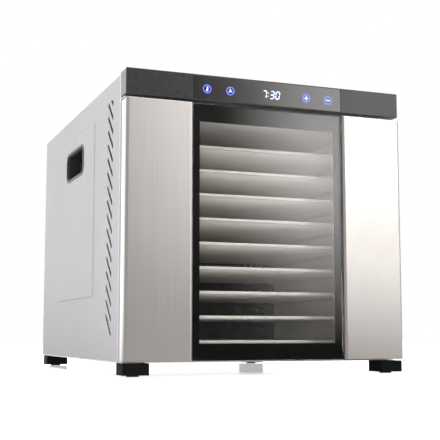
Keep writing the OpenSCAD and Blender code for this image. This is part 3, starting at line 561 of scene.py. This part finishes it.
half_w = maths(TRAY, "MULTIPLY", maths(TRAY, "SUBTRACT", ti["Width"], ti["Rim width"]), 0.5)
half_d = maths(TRAY, "MULTIPLY", maths(TRAY, "SUBTRACT", ti["Depth"], ti["Rim width"]), 0.5)
path = add(TRAY, "GeometryNodeCurvePrimitiveQuadrilateral", Width=maths(TRAY, "MULTIPLY", half_w, 2.0),
           Height=maths(TRAY, "MULTIPLY", half_d, 2.0)).outputs[0]
section = add(TRAY, "GeometryNodeCurvePrimitiveQuadrilateral", Width=ti["Rim height"],
              Height=ti["Rim width"]).outputs[0]
rim = swept(TRAY, fillet(TRAY, path, ti["Corner"], 6), fillet(TRAY, section, 0.9 * MM, 2))
lifted = add(TRAY, "GeometryNodeTransform", Geometry=rim,
             Translation=vector(TRAY, 0.0, 0.0, maths(TRAY, "MULTIPLY", ti["Rim height"], 0.5))).outputs[0]
over = maths(TRAY, "MULTIPLY", ti["Wire radius"], 2.9)
across = wire_layer(TRAY, half_w, half_d, ti["Pitch"], ti["Wire radius"], True, ti["Wire radius"])
along = wire_layer(TRAY, half_d, half_w, ti["Pitch"], ti["Wire radius"], False, over)
screen = add(TRAY, "GeometryNodeJoinGeometry")
for part in (across, along):
    TRAY.links.new(part, screen.inputs[0])
real = add(TRAY, "GeometryNodeRealizeInstances", Geometry=screen.outputs[0]).outputs[0]
both = add(TRAY, "GeometryNodeJoinGeometry")
for part, finish in ((lifted, "Rim finish"), (real, "Wire finish")):
    painted = add(TRAY, "GeometryNodeSetMaterial", Geometry=part, Material=ti[finish]).outputs[0]
    TRAY.links.new(painted, both.inputs[0])
TRAY.links.new(add(TRAY, "GeometryNodeTransform", Geometry=both.outputs[0],
                   Translation=ti["Place"]).outputs[0], to["Geometry"])

# %% Build the nine trays
RIM_W, RIM_CORNER = 4 * MM, 7 * MM
WIRE_PITCH, WIRE_R = 2.8 * MM, 0.45 * MM
for name in sorted(n for n in NODES if n.startswith("tray_")):
    low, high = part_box(name)
    mesh = grow(TRAY, name, {
        "Width": high.x - low.x, "Depth": high.y - low.y, "Rim width": RIM_W, "Rim height": high.z - low.z,
        "Corner": RIM_CORNER, "Pitch": WIRE_PITCH, "Wire radius": WIRE_R,
        "Place": ((low.x + high.x) / 2, (low.y + high.y) / 2, low.z),
        # The rims take the darker copy of the tray steel, which is painted shade.
        "Wire finish": FINISH["tray_steel"], "Rim finish": RIM_PAINTED_SHADE})
    made = settle(wrap("wire_" + name, mesh, None, 40), name)
    print("  size in mm:", [round(v / MM, 2) for v in made.dimensions])

# %% [markdown]
# ## Screws
# The screws of the rear panel, the door and the feet have domed heads with a cross recess. One
# screw is turned from a profile in a few steps, and Geometry Nodes put a copy on every place
# where the measured model has a screw. The head faces out along the screw's own axis.

# %% One screw, and the tree that repeats it
SCREWS, si, so = new_tree("repeat on points",
                          [("Screw", "Object"), ("Turn", "Vector"), ("Finish", "Material")])
info = add(SCREWS, "GeometryNodeObjectInfo", Object=si["Screw"])
spin = add(SCREWS, "FunctionNodeRandomValue", data_type="FLOAT", i2=0.0, i3=math.tau, Seed=4).outputs[1]
tilt = add(SCREWS, "FunctionNodeEulerToRotation", i0=si["Turn"]).outputs[0]
own = add(SCREWS, "FunctionNodeEulerToRotation", i0=vector(SCREWS, 0.0, 0.0, spin)).outputs[0]
turned = add(SCREWS, "FunctionNodeRotateRotation", rotation_space="LOCAL", i0=tilt, i1=own).outputs[0]
repeat = add(SCREWS, "GeometryNodeInstanceOnPoints", Points=si["Geometry"],
             Instance=info.outputs["Geometry"],
             Rotation=turned).outputs[0]
real = add(SCREWS, "GeometryNodeRealizeInstances", Geometry=repeat).outputs[0]
SCREWS.links.new(add(SCREWS, "GeometryNodeSetMaterial", Geometry=real, Material=si["Finish"]).outputs[0],
                 so["Geometry"])


def turn_profile(bm, profile, steps):
    """Turns (radius, height) points round Z into a closed skin."""
    rings = []
    for radius, height in profile:
        if radius == 0:
            rings.append([bm.verts.new((0, 0, height))])
            continue
        angles = [math.tau * k / steps for k in range(steps)]
        rings.append([bm.verts.new((radius * math.cos(a), radius * math.sin(a), height)) for a in angles])
    for a, b in zip(rings, rings[1:]):
        for k in range(steps):
            n = (k + 1) % steps
            corners = [a[k % len(a)], a[n % len(a)], b[n % len(b)], b[k % len(b)]]
            unique = list(dict.fromkeys(corners))
            if len(unique) > 2:
                bm.faces.new(unique)
    return rings


def screw(head_r, head_t, shank_r, shank_l):
    """Head on +Z from zero, shank on -Z. The recess is four pressed arms of the inner rings."""
    bm = bmesh.new()
    steps = 24
    profile = [(0, -shank_l), (shank_r * 0.6, -shank_l), (shank_r, -shank_l + shank_r * 0.4), (shank_r, 0),
               (head_r, 0), (head_r, head_t * 0.35), (head_r * 0.86, head_t * 0.78),
               (head_r * 0.62, head_t),
               (head_r * 0.52, head_t), (head_r * 0.3, head_t), (0, head_t)]
    rings = turn_profile(bm, profile, steps)
    for ring, depth in ((rings[-3], 0.25), (rings[-2], 0.55)):
        for k, vert in enumerate(ring):
            if k % 6 == 0:
                vert.co.z -= head_t * depth
    rings[-1][0].co.z -= head_t * 0.7
    return bm


def screws_on(node, axis):
    """Detailed screws in the places of a node's loose parts; axis is where the heads face."""
    spots, sizes = bmesh.new(), None
    for low, high in loose_parts(node):
        middle = (low + high) / 2
        length = (high - low).dot(axis) if axis.x + axis.y + axis.z > 0 else (low - high).dot(axis)
        width = (high - low).length_squared - length * length
        sizes = (math.sqrt(width / 2) / 2, length)
        end = middle + axis * (length / 2 - HEAD_T[node])
        spots.verts.new(end)
    head_r, length = sizes
    template = piece("template", screw(head_r * 0.99, HEAD_T[node], 1.55 * MM, length - HEAD_T[node]),
                     FINISH["plated_steel"])
    points = bpy.data.meshes.new("spots")
    spots.to_mesh(points)
    count = len(spots.verts)
    spots.free()
    turn = Vector((0, 0, 1)).rotation_difference(axis).to_euler()
    mesh = grow(SCREWS, node, {"Screw": template, "Turn": tuple(turn), "Finish": FINISH["plated_steel"]},
                points)
    bpy.data.objects.remove(template)
    print(node, "has", count, "screws, head", round(head_r / MM, 2), "mm")
    return settle(wrap(node + "_cross_head", mesh, FINISH["plated_steel"], 35), node)


HEAD_T = {"rear_screws": 1.6 * MM, "door_screws": 1.4 * MM, "foot_screws": 2.0 * MM}
screws_on("rear_screws", Vector((0, 1, 0)))
screws_on("door_screws", Vector((0, 1, 0)))
screws_on("foot_screws", Vector((0, 0, -1)))

# %% [markdown]
# ## Door gasket
# The gasket is a soft silicone ring: a flat foot that is stuck in the door and a hollow bulb
# with a lip that the case presses flat. One section is drawn once and carried round the four
# sides with mitred corners, which is how such a gasket is cut and joined.

# %% Build the gasket
low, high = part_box("door_gasket")
BAND = 7.5 * MM
deep = high.y - low.y
SECTION = [(0.0, 0.0), (1.0, 0.0), (1.0, 0.22), (0.86, 0.30), (0.92, 0.55), (0.82, 0.80), (0.62, 0.95),
           (0.42, 1.0), (0.26, 0.93), (0.12, 0.72), (0.10, 0.45), (0.16, 0.30), (0.0, 0.22)]
bm = bmesh.new()
corner_rings = []
for sx, sz in ((-1, -1), (1, -1), (1, 1), (-1, 1)):
    ring = []
    for across_share, out_share in SECTION:
        inset = BAND * (1 - across_share)
        x = high.x - inset if sx > 0 else low.x + inset
        z = high.z - inset if sz > 0 else low.z + inset
        ring.append(bm.verts.new((x, low.y + deep * out_share, z)))
    corner_rings.append(ring)
for k in range(4):
    a, b = corner_rings[k], corner_rings[(k + 1) % 4]
    for j in range(len(SECTION)):
        n = (j + 1) % len(SECTION)
        bm.faces.new((a[j], a[n], b[n], b[j]))
settle(piece("bulb_gasket", bm, FINISH["gasket_rubber"], 25), "door_gasket")

# %% [markdown]
# ## Touch symbols and clock
# Four round keys and a clock show through the touch plate. Each is a flat raised print about a
# tenth of a millimetre thick. The keys are a ring with a symbol: a thermometer and a fan on the
# left, a plus and a minus on the right. The clock digits are made of seven slanted bars.

# %% Flat print helpers
lens_low, lens_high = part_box("touch_lens")
PRINT_Y = lens_low.y
PRINT_T = 0.12 * MM
MIDDLE_Z = (lens_low.z + lens_high.z) / 2 - 1.2 * MM


def flat_shape(bm, outline, hole=None):
    """A thin plate in the XZ plane in front of the touch plate; hole has as many points."""
    loops = [outline, hole] if hole else [outline]
    levels = [[[bm.verts.new((x, y, z)) for x, z in loop] for loop in loops]
              for y in (PRINT_Y, PRINT_Y - PRINT_T)]
    count = len(outline)
    for k in range(count):
        n = (k + 1) % count
        for loop in range(len(levels[0])):
            bm.faces.new((levels[0][loop][k], levels[0][loop][n], levels[1][loop][n], levels[1][loop][k]))
        if hole:
            for level in levels:
                bm.faces.new((level[0][k], level[0][n], level[1][n], level[1][k]))
    if not hole:
        for level in levels:
            bm.faces.new(level[0])


def circle_points(cx, cz, radius, count=40):
    angles = [math.tau * k / count for k in range(count)]
    return [(cx + radius * math.cos(angle), cz + radius * math.sin(angle)) for angle in angles]


def bar(bm, cx, cz, length, width, angle=0.0):
    """A bar with pointed ends, as in a seven-bar digit."""
    c, s = math.cos(angle), math.sin(angle)
    tip = width / 2
    shape = [(-length / 2, 0), (-length / 2 + tip, -tip), (length / 2 - tip, -tip), (length / 2, 0),
             (length / 2 - tip, tip), (-length / 2 + tip, tip)]
    flat_shape(bm, [(cx + x * c - z * s, cz + x * s + z * c) for x, z in shape])


# %% Build the rings
key_spots = sorted(((a + b) / 2).x for a, b in loose_parts("touch_springs"))
KEY_R, RING_W = 5.0 * MM, 0.9 * MM
bm = bmesh.new()
for x in key_spots:
    flat_shape(bm, circle_points(x, MIDDLE_Z, KEY_R), circle_points(x, MIDDLE_Z, KEY_R - RING_W))
settle(piece("key_rings", bm, RING_GLOW), body=BODY_OF["touch_lens"])
print("keys at x in mm:", [round(x / MM, 1) for x in key_spots])

# %% Build the symbols
bm = bmesh.new()
thermometer_x, fan_x, plus_x, minus_x = key_spots
flat_shape(bm, circle_points(thermometer_x, MIDDLE_Z - 1.5 * MM, 1.25 * MM, 24))
bar(bm, thermometer_x, MIDDLE_Z + 0.9 * MM, 4.2 * MM, 0.9 * MM, math.radians(90))
for k in range(3):
    bar(bm, thermometer_x + 1.5 * MM, MIDDLE_Z + (0.1 + 1.1 * k) * MM, 1.1 * MM, 0.4 * MM)
for k in range(3):
    angle = math.radians(90 + 120 * k)
    cx, cz = fan_x + 1.35 * MM * math.cos(angle), MIDDLE_Z + 1.35 * MM * math.sin(angle)
    blade = [(1.45, 0.0), (0.8, 0.75), (-0.2, 0.85), (-1.1, 0.15), (-0.9, -0.35), (0.5, -0.45)]
    c, s = math.cos(angle), math.sin(angle)
    flat_shape(bm, [(cx + (x * c - z * s) * MM, cz + (x * s + z * c) * MM) for x, z in blade])
for x in (plus_x, minus_x):
    bar(bm, x, MIDDLE_Z, 5.4 * MM, 1.1 * MM)
for side in (-1, 1):
    bar(bm, plus_x, MIDDLE_Z + side * 1.65 * MM, 2.1 * MM, 1.1 * MM, math.radians(90))
settle(piece("key_symbols", bm, SIGN_GLOW), body=BODY_OF["touch_lens"])

# %% Build the clock
DIGIT_W, DIGIT_H, BAR_W, SLANT = 4.4 * MM, 8.6 * MM, 1.15 * MM, math.tan(math.radians(8))
LIT = {"0": "abcdef", "3": "abcdg", "7": "abc"}
bm = bmesh.new()


def slanted(x, z, length, angle):
    """One bar of a digit, sheared to the right as it rises."""
    before = set(bm.verts)
    bar(bm, x, z, length, BAR_W, angle)
    for vert in set(bm.verts) - before:
        vert.co.x += (vert.co.z - MIDDLE_Z) * SLANT


def digit(sign, cx):
    half, quarter, up = DIGIT_W / 2, DIGIT_H / 4, math.radians(90)
    places = {"a": (0, DIGIT_H / 2, DIGIT_W, 0), "g": (0, 0, DIGIT_W, 0),
              "d": (0, -DIGIT_H / 2, DIGIT_W, 0),
              "b": (half, quarter, DIGIT_H / 2, up), "c": (half, -quarter, DIGIT_H / 2, up),
              "f": (-half, quarter, DIGIT_H / 2, up), "e": (-half, -quarter, DIGIT_H / 2, up)}
    for key in LIT[sign]:
        x, z, length, angle = places[key]
        slanted(cx + x, MIDDLE_Z + z, length - 0.5 * MM, angle)


for sign, centre in (("7", -5.4), ("3", 4.2), ("0", 11.2)):
    digit(sign, centre * MM)
for side in (-1, 1):
    slanted(-0.7 * MM, MIDDLE_Z + side * 1.9 * MM, 1.4 * MM, 0)
settle(piece("clock_digits", bm, DIGIT_GLOW), body=BODY_OF["touch_lens"])

# %% [markdown]
# ## Stage
# A plain pale floor, soft light and a camera low in front of the left corner. The floor is
# polished where the unit stands, so the rear feet mirror in it. The light comes from a large
# soft dome, bright from above, with one tall strip light at the front right. Steel shows such a
# dome as smooth gradients, and black glass shows the strip. What mirrors see of the room is pale,
# but for one dark card behind the strip. Three large lamps add a direction.

# %% Camera
camera = bpy.data.objects.new("camera", bpy.data.cameras.new("camera"))
bpy.context.scene.collection.objects.link(camera)
camera.location = (-0.4501, -1.2335, 0.0464)
camera.rotation_euler = (math.radians(90 + 6.72), 0, math.radians(-21.08))
camera.data.sensor_width = 36
camera.data.lens = 78.9
camera.data.clip_start = 0.05
bpy.context.scene.camera = camera


# %% Dark card
CARD = (25, 13, 20)


def window(tree, way, azimuth, inner, outer, strength=1.0):
    """One inside a band of directions round an azimuth, degrees right of the front, else zero."""
    turn = math.radians(azimuth)
    across = add(tree, "ShaderNodeVectorMath", operation="DOT_PRODUCT", i0=way,
                 i1=(math.cos(turn), math.sin(turn), 0))
    ahead = add(tree, "ShaderNodeVectorMath", operation="DOT_PRODUCT", i0=way,
                i1=(math.sin(turn), -math.cos(turn), 0))
    side = add(tree, "ShaderNodeMapRange", interpolation_type="SMOOTHSTEP",
               i0=maths(tree, "ABSOLUTE", across.outputs["Value"]),
               i1=math.sin(math.radians(outer)), i2=math.sin(math.radians(inner)), i3=0.0,
               i4=strength).outputs[0]
    front = add(tree, "ShaderNodeMapRange", i0=ahead.outputs["Value"], i1=0.0, i2=0.2).outputs[0]
    return maths(tree, "MULTIPLY", side, front)


# %% Floor
MIRRORED_FLOOR, CARD_ON_FLOOR = 0.75, 0.66
bpy.ops.mesh.primitive_circle_add(vertices=64, radius=6, fill_type="NGON")
floor = bpy.context.object
floor.name = "floor"
paper = bpy.data.materials.new("studio_floor")
paper.use_nodes = True
tree = paper.node_tree
shader = tree.nodes["Principled BSDF"]
place = add(tree, "ShaderNodeTexCoord").outputs["Object"]
speck = add(tree, "ShaderNodeTexNoise", Vector=place, Scale=60.0, Detail=3.0).outputs[0]
tree.links.new(add(tree, "ShaderNodeMix", data_type="RGBA", i0=speck, i6=(0.90, 0.90, 0.905, 1),
                   i7=(0.94, 0.94, 0.94, 1)).outputs[2],
               shader.inputs["Base Color"])
shader.inputs["Emission Color"].default_value = (1, 1, 1, 1)
shader.inputs["Emission Strength"].default_value = 0.42
spot = add(tree, "ShaderNodeSeparateXYZ", Vector=place).outputs
reach_x = maths(tree, "SUBTRACT", maths(tree, "ABSOLUTE", spot["X"]), abs(cad_low.x))
reach_y = maths(tree, "SUBTRACT", maths(tree, "ABSOLUTE", spot["Y"]), abs(cad_low.y))
outside = add(tree, "ShaderNodeMapRange", i0=maths(tree, "MAXIMUM", reach_x, reach_y), i1=0.0,
              i2=0.02).outputs[0]
matt = maths(tree, "ADD", maths(tree, "MULTIPLY", outside, 0.5), maths(tree, "MULTIPLY", speck, 0.04))
tree.links.new(matt, shader.inputs["Roughness"])
mirrored = add(tree, "ShaderNodeLightPath").outputs["Is Glossy Ray"]
way = add(tree, "ShaderNodeVectorMath", operation="NORMALIZE", i0=place).outputs[0]
shade = add(tree, "ShaderNodeEmission", Color=(1, 0.98, 0.96, 1),
            Strength=maths(tree, "SUBTRACT", MIRRORED_FLOOR, window(tree, way, *CARD, CARD_ON_FLOOR)))
sides = add(tree, "ShaderNodeMixShader", i0=mirrored, i1=shader.outputs[0], i2=shade.outputs[0])
tree.links.new(sides.outputs[0], tree.nodes["Material Output"].inputs["Surface"])
floor.data.materials.append(paper)
floor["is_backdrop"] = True

# %% Dome light
world = bpy.data.worlds.new("dome")
bpy.context.scene.world = world
world.use_nodes = True
tree = world.node_tree
for node in list(tree.nodes):
    tree.nodes.remove(node)
sky = add(tree, "ShaderNodeTexCoord").outputs["Generated"]


def lobe(direction, inner, outer, strength):
    """A soft round patch of light in one direction; inner and outer are angles in degrees."""
    facing = add(tree, "ShaderNodeVectorMath", operation="DOT_PRODUCT", i0=sky,
                 i1=tuple(Vector(direction).normalized()))
    return add(tree, "ShaderNodeMapRange", interpolation_type="SMOOTHSTEP", i0=facing.outputs["Value"],
               i1=math.cos(math.radians(outer)), i2=math.cos(math.radians(inner)), i3=0.0,
               i4=strength).outputs[0]


def strip(azimuth, inner, outer, low, high, strength):
    """A tall strip light that starts between two heights."""
    height = add(tree, "ShaderNodeSeparateXYZ", Vector=sky).outputs["Z"]
    rise = add(tree, "ShaderNodeMapRange", interpolation_type="SMOOTHSTEP", i0=height, i1=low,
               i2=high).outputs[0]
    return maths(tree, "MULTIPLY", window(tree, sky, azimuth, inner, outer, strength), rise)


MIRRORED_WALL = 0.6
total = maths(tree, "ADD", lobe((0, 0, 1), 10, 72, 1.2), 0.12)
PATCHES = (
    strip(29, 1.5, 8, -0.03, 0.17, 6.5),
    strip(33, 1, 5, -0.25, -0.05, 3.5),
    lobe((0.8, -0.5, 0.2), 5, 32, 0.8),
    lobe((0.2, -0.8, 0.6), 5, 36, 0.25),
    lobe((-1.0, 0.0, 0.0), 10, 75, 0.15),
    lobe((-0.28, 1.0, 0.05), 12, 40, 1.5),
)
for patch in PATCHES:
    total = maths(tree, "ADD", total, patch)
rays = add(tree, "ShaderNodeLightPath").outputs
card = window(tree, sky, *CARD, MIRRORED_WALL)
walls = maths(tree, "MULTIPLY", maths(tree, "SUBTRACT", MIRRORED_WALL, card), rays["Is Glossy Ray"])
lit = add(tree, "ShaderNodeBackground", Color=(1.0, 0.985, 0.97, 1),
          Strength=maths(tree, "ADD", total, walls))
plain = add(tree, "ShaderNodeBackground", Color=(1, 1, 1, 1), Strength=1.0)
choose = add(tree, "ShaderNodeMixShader", i0=rays["Is Camera Ray"], i1=lit.outputs[0], i2=plain.outputs[0])
tree.links.new(choose.outputs[0], tree.nodes.new("ShaderNodeOutputWorld").inputs["Surface"])


# %% Lamps
def lamp(name, spot, target, size, power):
    """A square soft lamp that looks at target."""
    made = bpy.data.objects.new(name, bpy.data.lights.new(name, "AREA"))
    made.data.shape = "SQUARE"
    made.data.size = size
    made.data.energy = power
    made.location = spot
    made.rotation_euler = (Vector(target) - Vector(spot)).to_track_quat("-Z", "Y").to_euler()
    made.visible_camera = False
    made.visible_glossy = False
    bpy.context.scene.collection.objects.link(made)


lamp("key", (1.6, -2.2, 2.0), (0, 0, 0.15), 1.4, 7)
lamp("front_fill", (-0.6, -2.4, 1.0), (0, -0.1, 0.15), 1.2, 4)
lamp("low_fill", (-0.5, -1.2, -0.05), (0, 0, 0.3), 0.5, 19)
bpy.context.scene.view_settings.view_transform = "Standard"
bpy.context.scene.view_settings.look = "None"

# %% [markdown]
# ## Compare the size
# The visual model must fill the same box as the measured one. The largest difference between
# the two boxes is printed.

# %% Finish
now_low, now_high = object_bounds()
pairs = zip((*cad_low, *cad_high), (*now_low, *now_high))
print("largest difference in mm:", round(max(abs(a - b) for a, b in pairs) / MM, 3))
